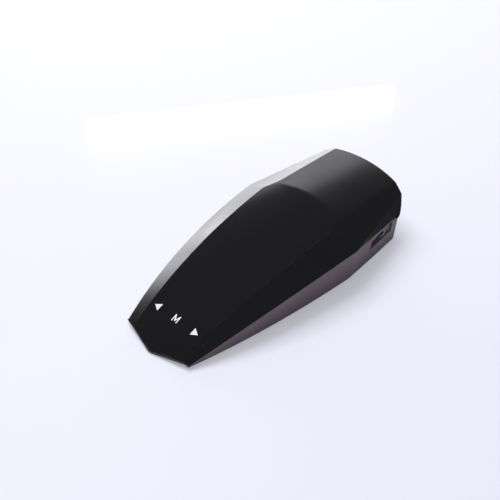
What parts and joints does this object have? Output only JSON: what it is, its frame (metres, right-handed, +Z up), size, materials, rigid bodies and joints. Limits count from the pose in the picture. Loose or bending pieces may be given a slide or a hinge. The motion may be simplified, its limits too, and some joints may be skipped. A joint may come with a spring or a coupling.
{
  "type": "radar detector",
  "caption": "Dashboard radar and laser detector: a faceted wedge with a glossy cover, touch keys, a side data port, horn receiver and internal loudspeaker.",
  "frame": {"origin": "on the table plane under the middle of the bounding box", "axes": "+X towards the side with the data port, +Y towards the thick rear end that faces the road, +Z up"},
  "size_m": [0.071, 0.1488, 0.0311],
  "materials": {
    "cover_gloss": "semi-gloss black cover",
    "case_satin": "satin grey moulded case",
    "key_light": "translucent white light guide",
    "window_gloss": "infrared-clear dark window",
    "film": "polyimide film",
    "lamp": "clear lamp body",
    "chip": "moulded black",
    "board": "solder-masked circuit board",
    "ceramic": "fired ceramic",
    "silver": "silver plating",
    "steel": "plated steel",
    "contact": "gold-plated or bare copper",
    "foam": "soft foam",
    "magnet": "nickel-plated magnet",
    "paper": "pressed paper",
    "horn_metal": "die-cast",
    "lens": "clear lens",
    "foot_rubber": "soft black rubber",
    "label": "blank printed foil"
  },
  "bodies": {
    "housing": {"top_cover": "cover_gloss", "lower_case": "case_satin", "left_key_light": "key_light", "mode_key_light": "key_light", "right_key_light": "key_light", "rear_window": "window_gloss", "touch_film": "film", "key_lamps": "lamp", "film_tail": "film", "film_connector": "chip", "main_board": "board", "display_module": "chip", "display_digits": "lamp", "processor": "chip", "voice_memory": "chip", "audio_amplifier": "chip", "antenna_patch": "ceramic", "antenna_plate": "silver", "backup_cell": "steel", "port_shell": "steel", "port_tongue": "chip", "port_contacts": "contact", "speaker_gasket": "foam", "speaker_basket": "steel", "speaker_magnet": "magnet", "speaker_surround": "foam", "radar_horn": "horn_metal", "radar_mixer": "steel", "laser_board": "board", "laser_diode": "chip", "laser_holder": "chip", "laser_lens": "lens", "case_screws": "steel", "board_screws": "steel", "rubber_feet": "foot_rubber", "rating_label": "label"},
    "speaker_cone": {"speaker_cone": "paper", "voice_coil": "contact"}
  },
  "joints": [
    {"name": "cone_travel", "type": "slide", "parent": "housing", "child": "speaker_cone", "axis": [0, 0, 1], "range_m": [-0.0004, 0.0004], "stiffness_N_per_m": 100}
  ]
}
